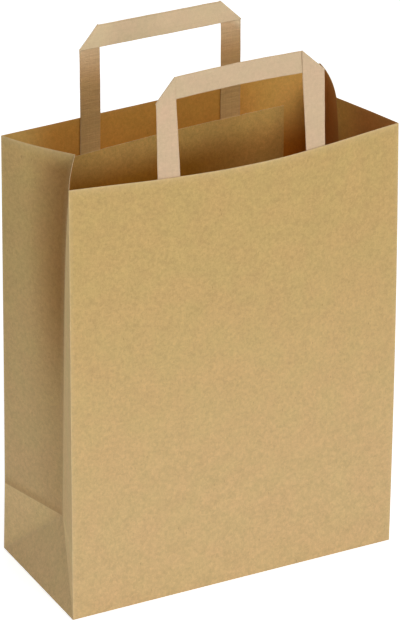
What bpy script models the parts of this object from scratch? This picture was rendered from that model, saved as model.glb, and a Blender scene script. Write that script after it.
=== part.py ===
"""Paper carrier bag of brown kraft paper with two flat tape handles.

The bag stands on the floor at z = 0 with its mouth up. +X runs along the front panel, -Y is the front.
The origin is the middle of the bottom, on its underside. Lengths are metres and angles are degrees.
"""

import math

import bmesh
import bpy

# Bag size
BAG_WIDTH = 0.2373
BAG_DEPTH = 0.1074
BAG_HEIGHT = 0.310
PAPER = 0.0004
GAP = 0.0003

# Block bottom
FLAP_LAYER = 0.00015
FLAP_LAP = 0.014
FLAP_INSET = 0.0004
BOTTOM_CREASE = 0.0505

# Side gussets: how far the centre crease is pushed in above the bottom triangle, and what the mouth adds
LEFT_PUSH_LOW = 0.0187
LEFT_PUSH_HIGH = 0.0230
LEFT_PUSH_FLARE = 0.0065
RIGHT_PUSH_LOW = 0.0120
RIGHT_PUSH_HIGH = 0.0130
RIGHT_PUSH_FLARE = 0.0033
FLARE_POWER = 8
LEFT_CREASE_LEAN = -0.0017
RIGHT_CREASE_LEAN = 0.0003
LEFT_BACK_BULGE = 0.0033
LEFT_FRONT_BULGE = 0.0013
RIGHT_BACK_BULGE = 0.0012
RIGHT_FRONT_BULGE = 0.0002

# Upright edges: how far each one's top stands to the right of its foot, and in from above it
FRONT_LEFT_SHIFT = 0.0028
FRONT_LEFT_DRAW = 0.0056
FRONT_RIGHT_SHIFT = 0.0008
FRONT_RIGHT_DRAW = 0.0010
BACK_LEFT_SHIFT = -0.0005
BACK_LEFT_DRAW = 0.0079
BACK_RIGHT_SHIFT = 0.0
BACK_RIGHT_DRAW = 0.0002

# How far two of the edges bow to the right between foot and top, and how low down the bow stands
FRONT_RIGHT_BOW = 0.0012
FRONT_RIGHT_BOW_POWER = 1.0
BACK_LEFT_BOW = 0.0009
BACK_LEFT_BOW_POWER = 0.45

# Front panel: it bows outwards at the mouth
FRONT_BOW = 0.0150
BOW_POWER = 1.15
BOW_RISE = 2.0

# Handles
TAPE_WIDTH = 0.0149
TAPE = 0.0004
FOLD_GAP = 0.0003
HANDLE_WIDTH = 0.1183
FRONT_RISE = 0.0662
BACK_RISE = 0.0620
FRONT_HANDLE_X = 0.0010
BACK_HANDLE_X = -0.0028
FRONT_LEAN = 4.7
BACK_LEAN = -0.3
FRONT_TILT = -0.6
BACK_TILT = 1.0
FRONT_BAR_BOW = 0.0026
BACK_BAR_BOW = 0.0
LEG_TUCK = 0.062

# Patches that hold the handles inside the panels
PATCH_MARGIN = 0.0330
PATCH_HEIGHT = 0.045
PATCH_DROP = 0.0258
FRONT_PATCH_TILT = 0.0
BACK_PATCH_TILT = 1.5
POCKET_MARGIN = 0.0010
POCKET_FOOT_MARGIN = 0.0040
POCKET_SLOPE = 0.0020

# Fineness of the faceted surfaces
PANEL_COLUMNS = 20
GUSSET_COLUMNS = 6
WALL_ROWS = 14
TAPE_COLUMNS = 3
PATCH_ROWS = 9
STEP = 0.010
FOLD_STEPS = 4

# Worked out from the sizes above
HALF_W = BAG_WIDTH / 2
HALF_D = BAG_DEPTH / 2
FLOOR = 2 * FLAP_LAYER
LEFT = {
    "side": -1,
    "low": LEFT_PUSH_LOW,
    "high": LEFT_PUSH_HIGH,
    "flare": LEFT_PUSH_FLARE,
    "lean": LEFT_CREASE_LEAN,
    "bulge": {-1: LEFT_FRONT_BULGE, 1: LEFT_BACK_BULGE},
    "shift": {-1: FRONT_LEFT_SHIFT, 1: BACK_LEFT_SHIFT},
    "draw": {-1: FRONT_LEFT_DRAW, 1: BACK_LEFT_DRAW},
    "bow": {-1: 0.0, 1: BACK_LEFT_BOW},
    "bow_power": {-1: 1.0, 1: BACK_LEFT_BOW_POWER},
}
RIGHT = {
    "side": 1,
    "low": RIGHT_PUSH_LOW,
    "high": RIGHT_PUSH_HIGH,
    "flare": RIGHT_PUSH_FLARE,
    "lean": RIGHT_CREASE_LEAN,
    "bulge": {-1: RIGHT_FRONT_BULGE, 1: RIGHT_BACK_BULGE},
    "shift": {-1: FRONT_RIGHT_SHIFT, 1: BACK_RIGHT_SHIFT},
    "draw": {-1: FRONT_RIGHT_DRAW, 1: BACK_RIGHT_DRAW},
    "bow": {-1: FRONT_RIGHT_BOW, 1: 0.0},
    "bow_power": {-1: FRONT_RIGHT_BOW_POWER, 1: 1.0},
}
FOLD_RADIUS = (TAPE + FOLD_GAP) / 2

KRAFT = (0.55, 0.38, 0.17, 1.0)
KRAFT_INSIDE = (0.36, 0.21, 0.07, 1.0)
TAPE_COLOUR = (0.62, 0.45, 0.27, 1.0)
PAPER_ROUGHNESS = 0.85


def clear_scene():
    for obj in list(bpy.data.objects):
        bpy.data.objects.remove(obj, do_unlink=True)


def new_collection(name):
    collection = bpy.data.collections.new(name)
    bpy.context.scene.collection.children.link(collection)
    return collection


def paper_material(name, colour):
    material = bpy.data.materials.new(name)
    material.use_nodes = True
    shader = material.node_tree.nodes["Principled BSDF"]
    shader.inputs["Base Color"].default_value = colour
    shader.inputs["Roughness"].default_value = PAPER_ROUGHNESS
    shader.inputs["Metallic"].default_value = 0.0
    return material


def smooth(t):
    """0 up to 1 as t goes from 0 to 1, level at both ends."""
    t = min(max(t, 0.0), 1.0)
    return t * t * (3 - 2 * t)


# The folded sheet. v is a height along the paper, from 0 at the bottom edge to BAG_HEIGHT at the rim.


def wall_share(v):
    return max(0.0, (v - BOTTOM_CREASE) / (BAG_HEIGHT - BOTTOM_CREASE))


def push(gusset, v):
    """How far the gusset's centre crease stands in from the side."""
    share = wall_share(v)
    steady = gusset["low"] + (gusset["high"] - gusset["low"]) * share
    return steady + gusset["flare"] * share**FLARE_POWER


def rise_share(v):
    return (v / BAG_HEIGHT) ** BOW_RISE


def corner(gusset, face, v):
    """The bag's upright edge at this gusset. face is -1 at the front and 1 at the back."""
    if 0 < v < BOTTOM_CREASE:
        return mix(corner(gusset, face, 0), corner(gusset, face, BOTTOM_CREASE), v / BOTTOM_CREASE)
    share = v / BAG_HEIGHT
    bow = gusset["bow"][face] * math.sin(math.pi * share ** gusset["bow_power"][face])
    x = gusset["side"] * HALF_W + gusset["shift"][face] * share + bow
    return (x, face * (HALF_D - gusset["draw"][face] * share), FLOOR + v)


def crease(gusset, v):
    """The gusset's centre crease, from the tip of the bottom triangle up to the rim."""
    tip = math.sqrt(BOTTOM_CREASE**2 - push(gusset, BOTTOM_CREASE) ** 2)
    z = tip + (BAG_HEIGHT - tip) * wall_share(v)
    return (gusset["side"] * (HALF_W - push(gusset, v)), gusset["lean"] * wall_share(v), FLOOR + z)


def mix(a, b, share):
    return tuple(p + (q - p) * share for p, q in zip(a, b))


def add(a, b, c, first, second):
    """Point a, moved by the share first of the way to b and the share second of the way from b to c."""
    return tuple(p + first * (q - p) + second * (r - q) for p, q, r in zip(a, b, c))


def gusset_point(gusset, face, share, v):
    """A point of one half of a gusset. share is 0 on the upright edge and 1 on the centre crease."""
    if v < BOTTOM_CREASE:
        level = v / BOTTOM_CREASE
        foot = corner(gusset, face, 0.0)
        tip = crease(gusset, BOTTOM_CREASE)
        if share <= level:
            return add(foot, corner(gusset, face, BOTTOM_CREASE), tip, level, share)
        middle = (foot[0], 0.0, foot[2])
        return add(foot, middle, tip, share, level)
    x, y, z = mix(corner(gusset, face, v), crease(gusset, v), share)
    bulge = gusset["bulge"][face] * math.sin(math.pi * share) * wall_share(v)
    return (x + gusset["side"] * bulge, y + face * bulge * push(gusset, v) / HALF_D, z)


def panel_point(face, share, v):
    """A point of the front or back panel. share is 0 at the left edge and 1 at the right edge."""
    x, y, z = mix(corner(LEFT, face, v), corner(RIGHT, face, v), share)
    if face < 0:
        y -= FRONT_BOW * rise_share(v) * math.sin(math.pi * share) ** BOW_POWER
    return (x, y, z)


def panel_y(face, x, z):
    """The outside of the front or back panel at this x and height, level with the rim above it."""
    v = min(z - FLOOR, BAG_HEIGHT)
    left = corner(LEFT, face, v)[0]
    right = corner(RIGHT, face, v)[0]
    return panel_point(face, (x - left) / (right - left), v)[1]


def sheet_object(name, bm, thickness, offset, material, collection):
    """An open surface of paper, given its thickness. offset is -1 to grow inwards, 0 to grow both ways."""
    mesh = bpy.data.meshes.new(name)
    bm.to_mesh(mesh)
    bm.free()
    mesh.materials.append(material)
    obj = bpy.data.objects.new(name, mesh)
    collection.objects.link(obj)
    solidify = obj.modifiers.new("paper", "SOLIDIFY")
    solidify.thickness = thickness
    solidify.offset = offset
    solidify.use_even_offset = True
    return obj


def loft(bm, rows, closed=False):
    """Faces between rows of points with the same count. It gives back the rows of vertices."""
    made = [[bm.verts.new(point) for point in row] for row in rows]
    count = len(rows[0])
    for low, high in zip(made, made[1:]):
        for i in range(count if closed else count - 1):
            j = (i + 1) % count
            bm.faces.new((low[i], low[j], high[j], high[i]))
    return made


# Bag body


def ring(v):
    """The bag's section at height v, round from the front left edge, anticlockwise from above."""
    points = [panel_point(-1, i / PANEL_COLUMNS, v) for i in range(PANEL_COLUMNS)]
    shares = [i / GUSSET_COLUMNS for i in range(GUSSET_COLUMNS)]
    points += [gusset_point(RIGHT, -1, share, v) for share in shares]
    points += [gusset_point(RIGHT, 1, 1 - share, v) for share in shares]
    points += [panel_point(1, 1 - i / PANEL_COLUMNS, v) for i in range(PANEL_COLUMNS)]
    points += [gusset_point(LEFT, 1, share, v) for share in shares]
    points += [gusset_point(LEFT, -1, 1 - share, v) for share in shares]
    return points


def split_along_fold(bm, rows):
    """Cuts the four-sided faces that the bottom triangle's two folds cross, each along its fold."""
    span = 2 * GUSSET_COLUMNS
    starts = (PANEL_COLUMNS, 2 * PANEL_COLUMNS + span)
    count = len(rows[0])
    for start in starts:
        for level in range(GUSSET_COLUMNS):
            near = (rows[level][start + level], rows[level + 1][start + level + 1])
            far_low = rows[level][(start + span - level) % count]
            far_high = rows[level + 1][(start + span - level - 1) % count]
            for pair in (near, (far_low, far_high)):
                bmesh.ops.connect_verts(bm, verts=pair)


def flap(name, outline, low, high, collection):
    """A flat layer of the folded bottom, as a filled outline between two heights."""
    curve = bpy.data.curves.new(name, "CURVE")
    curve.dimensions = "2D"
    curve.fill_mode = "BOTH"
    curve.extrude = (high - low) / 2
    spline = curve.splines.new("POLY")
    spline.points.add(len(outline) - 1)
    for point, (x, y) in zip(spline.points, outline):
        point.co = (x, y, 0.0, 1.0)
    spline.use_cyclic_u = True
    guide = bpy.data.objects.new(name + "_outline", curve)
    guide.location = (0, 0, (low + high) / 2)
    collection.objects.link(guide)
    bpy.context.view_layer.update()
    graph = bpy.context.evaluated_depsgraph_get()
    mesh = bpy.data.meshes.new_from_object(guide.evaluated_get(graph))
    bm = bmesh.new()
    bm.from_mesh(mesh)
    bmesh.ops.remove_doubles(bm, verts=bm.verts, dist=1e-6)
    bm.to_mesh(mesh)
    bm.free()
    obj = bpy.data.objects.new(name, mesh)
    obj.matrix_world = guide.matrix_world
    collection.objects.link(obj)
    bpy.data.objects.remove(guide, do_unlink=True)
    obj.hide_render = True
    obj.display_type = "WIRE"
    return obj


def flap_outline(inset, lap):
    """The bottom flaps, folded at 45 degrees from corner to waist. With a lap it is the front flap alone."""
    corner_x = HALF_W - inset * (1 + math.sqrt(2))
    corner_y = HALF_D - inset
    waist = HALF_W - HALF_D - inset * math.sqrt(2)
    outline = [(-waist, 0.0), (-corner_x, -corner_y), (corner_x, -corner_y), (waist, 0.0)]
    if lap:
        return outline + [(waist, lap), (-waist, lap)]
    return outline + [(corner_x, corner_y), (-corner_x, corner_y)]


def bag_body(collection, cutters):
    bm = bmesh.new()
    levels = [BOTTOM_CREASE * i / GUSSET_COLUMNS for i in range(GUSSET_COLUMNS)]
    wall = BAG_HEIGHT - BOTTOM_CREASE
    levels += [BOTTOM_CREASE + wall * i / WALL_ROWS for i in range(WALL_ROWS + 1)]
    rows = loft(bm, [ring(v) for v in levels], closed=True)
    split_along_fold(bm, rows)
    bm.faces.new(list(reversed(rows[0])))
    body = sheet_object("bag_body", bm, PAPER, -1, paper_material("kraft_paper", KRAFT), collection)
    # Each layer reaches halfway into the one above it, so that they join into one body.
    under = flap("flap_under", flap_outline(FLAP_INSET, 0.0), FLAP_LAYER, FLOOR + PAPER / 2, cutters)
    outer = flap("flap_outer", flap_outline(2 * FLAP_INSET, FLAP_LAP), 0.0, 1.5 * FLAP_LAYER, cutters)
    for layer in (under, outer):
        union = body.modifiers.new(layer.name, "BOOLEAN")
        union.operation = "UNION"
        union.solver = "EXACT"
        union.object = layer
    return body


# Handles


def leg_edges(centre):
    """Outer and inner x of the left leg, then inner and outer x of the right leg."""
    outer = HANDLE_WIDTH / 2
    inner = outer - TAPE_WIDTH
    return centre - outer, centre - inner, centre + inner, centre + outer


def tape_y(face, spec, x, z):
    """The middle of the tape's thickness. It lies on the panel up to the rim, then leans and straightens."""
    inward = -face
    base = panel_y(face, x, z) + inward * (PAPER + GAP + TAPE / 2)
    rim = FLOOR + BAG_HEIGHT
    if z <= rim:
        return base
    above = z - rim
    outer_left, inner_left, inner_right, outer_right = leg_edges(spec["x"])
    left = (outer_left + inner_left) / 2
    right = (inner_right + outer_right) / 2
    share = (x - left) / (right - left)
    straight = panel_y(face, left, rim) * (1 - share) + panel_y(face, right, rim) * share
    straight += inward * (PAPER + GAP + TAPE / 2 + 4 * spec["bar_bow"] * share * (1 - share))
    turn = smooth(above / (spec["rise"] - TAPE_WIDTH))
    lean = math.tan(math.radians(spec["lean"]))
    return base + turn * (straight - base) + inward * above * lean


def tilted(spec, x, z):
    """The height of a point of the handle, whose left end stands higher by its tilt over upright legs."""
    return z - math.tan(math.radians(spec["tilt"])) * (x - spec["x"])


def handle(name, face, spec, collection, material):
    """One strip of tape: a leg, a fold at 45 degrees, the bar, a second fold and the other leg."""
    rim = FLOOR + BAG_HEIGHT
    top = rim + spec["rise"]
    foot = rim - LEG_TUCK
    outer_left, inner_left, inner_right, outer_right = leg_edges(spec["x"])
    shares = [i / TAPE_COLUMNS for i in range(TAPE_COLUMNS + 1)]

    def tape_point(x, z, layer):
        """layer is 0 for the legs, and goes up to 2 fold radii for the bar, on the inner side."""
        height = tilted(spec, x, z)
        return (x, tape_y(face, spec, x, height) - face * layer, height)

    def leg_row(outer, inner, climb):
        row = []
        for share in shares:
            end = top - TAPE_WIDTH * (1 - share)
            row.append(tape_point(outer + (inner - outer) * share, foot + (end - foot) * climb, 0.0))
        return row

    def fold_row(outer, inner, turn):
        """The fold's half round, from the legs' layer to the bar's layer."""
        reach = FOLD_RADIUS * math.sin(turn) / math.sqrt(2)
        side = math.copysign(reach, outer - inner)
        layer = FOLD_RADIUS * (1 - math.cos(turn))
        row = []
        for share in shares:
            x = outer + (inner - outer) * share
            row.append(tape_point(x + side, top - TAPE_WIDTH * (1 - share) + reach, layer))
        return row

    def bar_row(along):
        row = []
        for share in shares:
            start = outer_left + TAPE_WIDTH * share
            end = outer_right - TAPE_WIDTH * share
            height = top - TAPE_WIDTH * (1 - share)
            row.append(tape_point(start + (end - start) * along, height, 2 * FOLD_RADIUS))
        return row

    leg_steps = round((LEG_TUCK + spec["rise"]) / STEP)
    bar_steps = round(HANDLE_WIDTH / STEP)
    turns = [math.pi * i / FOLD_STEPS for i in range(1, FOLD_STEPS)]
    rows = [leg_row(outer_left, inner_left, i / leg_steps) for i in range(leg_steps + 1)]
    rows += [fold_row(outer_left, inner_left, turn) for turn in turns]
    rows += [bar_row(i / bar_steps) for i in range(bar_steps + 1)]
    rows += [fold_row(outer_right, inner_right, turn) for turn in reversed(turns)]
    rows += [leg_row(outer_right, inner_right, 1 - i / leg_steps) for i in range(leg_steps + 1)]
    bm = bmesh.new()
    loft(bm, rows)
    return sheet_object(name, bm, TAPE, 0, material, collection)


# Patches


def pocket(x, z, centre, foot):
    """1 over a leg of the tape and 0 away from it, with short slopes. The legs end at the height foot."""
    depth = 0.0
    legs = leg_edges(centre)
    for low, high in (legs[:2], legs[2:]):
        inside = min(x - (low - POCKET_MARGIN), (high + POCKET_MARGIN) - x)
        depth = max(depth, min(1.0, 1 + inside / POCKET_SLOPE))
    above = z - (foot - POCKET_FOOT_MARGIN)
    return max(0.0, min(depth, 1 + above / POCKET_SLOPE))


def stops(low, high, extra):
    """Places from low to high, no further apart than STEP, with each of the extra places among them."""
    marks = sorted({low, high, *[m for m in extra if low < m < high]})
    places = []
    for a, b in zip(marks, marks[1:]):
        count = max(1, math.ceil((b - a) / STEP))
        places += [a + (b - a) * i / count for i in range(count)]
    return places + [high]


def patch(name, face, spec, collection, material):
    """The strip glued over the legs inside a panel: flat on the panel, and raised over each leg."""
    rim = FLOOR + BAG_HEIGHT
    half = HANDLE_WIDTH / 2 + PATCH_MARGIN
    legs = leg_edges(spec["x"])
    marks = []
    for low, high in (legs[:2], legs[2:]):
        near = POCKET_MARGIN
        far = POCKET_MARGIN + POCKET_SLOPE
        marks += [low - far, low - near, high + near, high + far]
    across = stops(spec["x"] - half, spec["x"] + half, marks)
    # The patch is laid out along the tilted handle, so that its pockets end where the legs do.
    slant = math.tan(math.radians(spec["patch_tilt"] + spec["tilt"]))
    rows = []
    for level in range(PATCH_ROWS + 1):
        row = []
        for x in across:
            z = rim - PATCH_DROP - PATCH_HEIGHT * (1 - level / PATCH_ROWS) + slant * (x - spec["x"])
            raised = (TAPE + GAP) * pocket(x, z, spec["x"], rim - LEG_TUCK)
            height = tilted(spec, x, z)
            offset = PAPER + GAP + PAPER / 2 + raised
            row.append((x, panel_y(face, x, height) - face * offset, height))
        rows.append(row)
    bm = bmesh.new()
    loft(bm, rows)
    return sheet_object(name, bm, PAPER, 0, material, collection)


def main():
    clear_scene()
    parts = new_collection("paper_carrier_bag")
    cutters = new_collection("bottom_flaps")
    cutters.hide_render = True
    front = {
        "x": FRONT_HANDLE_X,
        "rise": FRONT_RISE,
        "lean": FRONT_LEAN,
        "tilt": FRONT_TILT,
        "bar_bow": FRONT_BAR_BOW,
        "patch_tilt": FRONT_PATCH_TILT,
    }
    back = {
        "x": BACK_HANDLE_X,
        "rise": BACK_RISE,
        "lean": BACK_LEAN,
        "tilt": BACK_TILT,
        "bar_bow": BACK_BAR_BOW,
        "patch_tilt": BACK_PATCH_TILT,
    }
    bag_body(parts, cutters)
    for name, face, spec in (("front", -1, front), ("back", 1, back)):
        handle(name + "_handle", face, spec, parts, paper_material(name + "_tape", TAPE_COLOUR))
        patch(name + "_handle_patch", face, spec, parts, paper_material(name + "_patch", KRAFT_INSIDE))


main()
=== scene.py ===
import math

import bpy
import numpy as np
from mathutils import Matrix, Vector


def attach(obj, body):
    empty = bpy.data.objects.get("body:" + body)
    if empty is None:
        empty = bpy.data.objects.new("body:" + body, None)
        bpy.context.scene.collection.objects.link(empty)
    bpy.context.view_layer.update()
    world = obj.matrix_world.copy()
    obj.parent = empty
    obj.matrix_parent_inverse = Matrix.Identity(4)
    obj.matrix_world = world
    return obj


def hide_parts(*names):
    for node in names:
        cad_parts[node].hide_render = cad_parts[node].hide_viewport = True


# An open block-bottom carrier bag of brown kraft paper with two flat tape handles.
# +X runs along the front panel, -Y is the front, +Z is up, and the floor is at z = 0. Lengths are metres.

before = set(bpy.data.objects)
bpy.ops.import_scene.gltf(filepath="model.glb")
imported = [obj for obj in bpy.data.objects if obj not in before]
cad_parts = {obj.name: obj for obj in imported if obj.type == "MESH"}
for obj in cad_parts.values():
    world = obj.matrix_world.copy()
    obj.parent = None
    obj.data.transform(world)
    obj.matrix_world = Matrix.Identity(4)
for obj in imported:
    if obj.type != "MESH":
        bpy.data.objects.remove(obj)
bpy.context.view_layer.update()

# Bag size
BAG_WIDTH = 0.2373
BAG_DEPTH = 0.1074
BAG_HEIGHT = 0.310
PAPER = 0.0004
GAP = 0.0003
BOTTOM_CREASE = 0.0505
FLAP_LAYER = 0.00015
FLAP_LAP = 0.014
FLAP_INSET = 0.0004
FLOOR = 2 * FLAP_LAYER
HALF_W = BAG_WIDTH / 2
HALF_D = BAG_DEPTH / 2
RIM = FLOOR + BAG_HEIGHT

# Each side's gusset: the centre crease's push, and how each upright edge leans, draws in and bows.
# The first of each pair is the front edge and the second is the back edge.
LEFT = {
    "side": -1, "low": 0.0187, "high": 0.0230, "flare": 0.0065, "lean": -0.0017,
    "bulge": (0.0013, 0.0033), "shift": (0.0028, -0.0005), "draw": (0.0056, 0.0079),
    "bow": (0.0, 0.0009), "bow_power": (1.0, 0.45), "curl": (0.0, 0.0),
}
RIGHT = {
    "side": 1, "low": 0.0120, "high": 0.0130, "flare": 0.0033, "lean": 0.0003,
    "bulge": (0.0002, 0.0012), "shift": (0.0008, 0.0), "draw": (0.0010, 0.0002),
    "bow": (0.0012, 0.0), "bow_power": (1.0, 1.0), "curl": (0.0, 0.0016),
}
FLARE_POWER = 8
CURL_POWER = 3
FRONT_BOW = 0.0150
BOW_POWER = 1.15
BOW_RISE = 2.0

# Handles
TAPE_WIDTH = 0.0149
TAPE = 0.0004
TAPE_EDGE = 0.1 * TAPE
TAPE_EDGE_POWER = 60
FOLD_GAP = 0.0003
FOLD_RADIUS = (TAPE + FOLD_GAP) / 2
HANDLE_WIDTH = 0.1183
LEG_TUCK = 0.062
CURL_HEIGHT = 1.5 * TAPE_WIDTH
# Lean and tilts are degrees. reach is how much further out the right leg stands, bar_bow and bar_curl are how
# the bar bends lengthwise and across, and shift, sag and arch are how the patch lies.
FRONT = {
    "face": -1, "x": 0.0010, "rise": 0.0662, "lean": 4.7, "tilt": -0.6, "reach": 0.0008,
    "bar_bow": 0.0026, "bar_curl": 0.0, "patch_tilt": 0.0, "shift": 0.0, "sag": 0.0, "arch": 0.0,
}
BACK = {
    "face": 1, "x": -0.0028, "rise": 0.0614, "lean": -0.3, "tilt": 1.25, "reach": 0.0010,
    "bar_bow": 0.0, "bar_curl": 0.0024, "patch_tilt": 1.2, "shift": 0.0013, "sag": 0.0005, "arch": 0.0018,
}

# Patches
PATCH_MARGIN = 0.0330
PATCH_HEIGHT = 0.045
PATCH_DROP = 0.0258
POCKET_MARGIN = 0.0010
POCKET_SIDE_SLOPE = 0.0032
POCKET_FOOT_MARGIN = 0.0040
POCKET_FOOT_SLOPE = 0.0020

# Thickness of the real paper, and the glued lap down the right gusset. SEAM_START is a share of the half
# gusset, and SEAM_EDGE is the share of the lap's width over which it rises.
SHEET = 0.00028
FLAP_SHEET = 0.00013
SEAM_SHEET = 0.00004
SEAM_WIDTH = 0.014
SEAM_START = 0.012
SEAM_PROUD = 0.00006
SEAM_EDGE = 1 / 6

# Heights of the bottom's layers
INNER_LEVEL = FLOOR + 0.00032
BACK_FLAP_LEVEL = 1.9 * FLAP_LAYER
FRONT_FLAP_LEVEL = 0.9 * FLAP_LAYER

# Slow ripples in the panels and gussets
RIPPLE_LENGTHS = (0.131, 0.097, 0.073, 0.058, 0.045)
RIPPLE_TURN = 2.4
RIPPLE_PHASE = 1.7
RIPPLE_PEAK = 3.2
PANEL_TURN = 1.0
PANEL_WAVE = 0.00022
PANEL_WAVE_START = 0.05
GUSSET_TURN = 0.6
GUSSET_WAVE = 0.000286
GUSSET_WAVE_START = 1 / 8

# Swell of the panels over the legs: its height, its half width with the slope, and how it ends
LEG_SWELL = 0.00035
SWELL_SLOPE = 0.9 * TAPE_WIDTH
SWELL_REACH = 1.25 * SWELL_SLOPE
SWELL_TOP = 0.010
SWELL_PAST = 0.008
SWELL_FOOT = 0.014

# Waves along the tape above the rim, and the fine puckers of the patches
TAPE_WAVE = 0.00016
TAPE_WAVE_LENGTHS = (0.037, 0.091)
TAPE_WAVE_PHASE = 0.8
TAPE_WAVE_START = 0.006
TAPE_WAVE_RISE = 0.02
PUCKER = 0.00007
PUCKER_FINENESS = 2.6
PUCKER_TURN = 2.0
PUCKER_EDGE = 0.004

# Fineness of the surfaces
PANEL_COLUMNS = 72
GUSSET_COLUMNS = 18
WALL_ROWS = 108
LAYER_ROWS = 41
LAYER_COLUMNS = 97
SEAM_ROWS = 140
SEAM_COLUMNS = 13
LEG_ROWS = 90
BAR_ROWS = 84
FOLD_ROWS = 7
TAPE_EDGE_STEPS = np.array([0.0, 0.006, 0.02, 0.05])
TAPE_MIDDLE_STEPS = np.linspace(0.1, 0.9, 9)
PATCH_ROWS = 46
PATCH_COLUMNS = 230
SHEET_SHARP = 9.0
STRIP_SHARP = 35.0

# Worn folds: the line's width, how much wider and weaker the soft band is, how much further off the bottom's
# folds count, and how much nearer the rim does
WORN_WIDTH = 0.0011
BROAD_WIDER = 3.5
BROAD_WEAKER = 0.55
BOTTOM_WORN_LESS = 0.0007
RIM_WORN_MORE = 0.55

# Painted shade in the hollow behind each gusset crease, and just above the bottom crease
VALLEY_WIDTH = 0.034
VALLEY_START = 0.10
VALLEY_FULL = 0.23
VALLEY_FOOT = 0.16
VALLEY_FADE = 0.014
VALLEY_TOP = 0.1
TUCK_HEIGHT = 0.009
TUCK_SHADE = 0.45

# Painted light on the outer triangles of the bottom and, more weakly, the gussets' front halves, and painted
# shade on the gussets' part inside the bag that is near an edge
FLAP_BLUR = (-0.001, 0.006)
FLAP_FOOT = 0.7
FRONT_HALF_PALE = 0.6
CORNER_BAND = (0.003, 0.026)

# Grain of the paper: cells to the metre, detail, roughness, distortion and how strongly it tones the paper.
# The strands and shives have their cells to the metre in their stretch, along each turned axis.
CLOUD = (95.0, 3.0, 0.6, 0.0, 0.034)
MOTTLE = (420.0, 2.0, 0.55, 0.6, 0.084)
SPECK = (1500.0, 2.0, 0.6, 0.0, 0.056)
STRAND = (1.0, 1.0, 0.4, 0.35, 0.085)
STRAND_TURNS = ((0.3, 0.2, 0.5), (1.3, -0.4, 0.2), (-0.6, 0.9, 1.4))
STRAND_STRETCH = (2600.0, 2600.0, 260.0)
STRAND_BAND = (0.60, 0.78)
SHIVE_TURN = (0.4, 0.3, 0.2)
SHIVE_STRETCH = (150.0, 150.0, 60.0)
SHIVE_BAND = (0.03, 0.075)
SHIVE_STRENGTH = 0.30
DRIFT_SCALE = 48.0
DRIFT_TURN = (0.0, 0.0, 0.7)
PINKISH = (1.018, 0.992, 1.0, 1.0)
GREENISH = (0.985, 1.008, 0.985, 1.0)
GRAIN_RANGE = (0.3, 0.7)
DRIFT_RANGE = (0.35, 0.65)
SHIVE_COLOUR = "6b4a22"
WEAR_GRAIN = (650.0, 3.0, 0.6)
WEAR_RANGE = (0.3, 0.65, 0.45, 1.0)

# Gloss and roughness, and the relief: how deep and strong the bump is, and the share of each part of it
SHINE = 0.25
DULL_SHINE = 0.08
SHEET_ROUGHNESS = 0.78
PLAIN_ROUGHNESS = 0.8
TAPE_ROUGHNESS = 0.7
FOLDED_BUMP = 0.35
PLAIN_BUMP = 0.3
BUMP_DEPTH = 0.00006
STRAND_RELIEF = 0.6
SPECK_RELIEF = 0.4
MOTTLE_RELIEF = 0.8
FOLD_RELIEF = 2.5

# Tape finish: the darker borders, the lines of its pasted plies, and the fine wrinkles across with painted
# shade and light along them
BORDER_WIDTH = 0.0009
BORDER_STRENGTH = 0.30
BORDER_COLOUR = "a88c68"
PLY_PLACE = 0.0052
PLY_WIDTH = 0.00035
PLY_TONE = 0.025
PLY_RELIEF = 2.0
WRINKLE_TURN = (0.0, 0.06, 0.0)
WRINKLE_STRETCH = (70.0, 70.0, 900.0)
WRINKLE_GRAIN = (1.0, 3.0, 0.6)
WRINKLE_RANGE = (0.35, 0.7)
WRINKLE_TONE = 0.06
WRINKLE_RELIEF = 3.0
BAR_WRINKLE = 0.25
LEG_BLEND = 0.009
TAPE_GRAIN = 0.45
TAPE_SHIVES = 0.4

# Places between which the painted light and shade of the paper change, upwards or to the right
OUTSIDE_HEIGHTS = (0.0, 0.31)
DEEP_HEIGHTS = (0.16, 0.232)
INSIDE_HEIGHTS = (0.235, 0.305)
INSIDE_LEFT = (-0.110, -0.078)
INSIDE_RIGHT = (0.040, 0.098)
INSIDE_RIGHT_HEIGHTS = (0.255, 0.292)
PATCH_HEIGHTS = (0.255, 0.286)
PATCH_RIGHT = (0.010, 0.080)
LEG_FOOT_HEIGHTS = (0.300, 0.328)
LEG_TOP_HEIGHTS = (0.330, 0.362)

# Camera of the photograph, found from the bag's own corners: degrees, metres, and the lens in millimetres
CAMERA_AZIMUTH = -27.062
CAMERA_ELEVATION = 27.013
CAMERA_ROLL = 0.151
CAMERA_DISTANCE = 3.31547
CAMERA_AIM_HEIGHT = 0.155
CAMERA_RIGHT = 0.001785
CAMERA_UP = 0.01935
CAMERA_LENS = 290.05
CAMERA_SENSOR = 36.0
CAMERA_SIGHT = 20.0

# Lamps in watts, and the world's share of white
LAMPS = {
    "front_lamp": {"place": (0.45, -1.75, 1.35), "aim": (0.0, 0.0, 0.15), "size": 1.0, "power": 15.8},
    "low_lamp": {"place": (-0.42, -1.45, 0.12), "aim": (0.0, 0.0, 0.08), "size": 0.4, "power": 4.8},
    "floor_lamp": {"place": (-0.3, -0.95, 1.7), "aim": (-0.3, -0.85, 0.0), "size": 1.3, "power": 8.0},
    "rear_lamp": {"place": (0.95, 1.75, 0.75), "aim": (0.0, 0.0, 0.15), "size": 1.3, "power": 9.0},
    "back_lamp": {"place": (-1.30, 0.85, 0.45), "aim": (0.0, 0.0, 0.15), "size": 1.1, "power": 4.1,
                  "tint": (0.93, 1.0, 1.06)},
}
WORLD_LIGHT = 0.22
STAGE_REACH = 4.0
STAGE_LEVEL = -0.0002
STAGE_ROUGHNESS = 0.9
STAGE_GREY = (0.9, 0.9, 0.9, 1.0)
STAGE_SEEN = (0.65, 0.65, 0.65, 1.0)
BLACK = (0.0, 0.0, 0.0, 1.0)
WHITE = (1.0, 1.0, 1.0, 1.0)


# Shape


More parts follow.
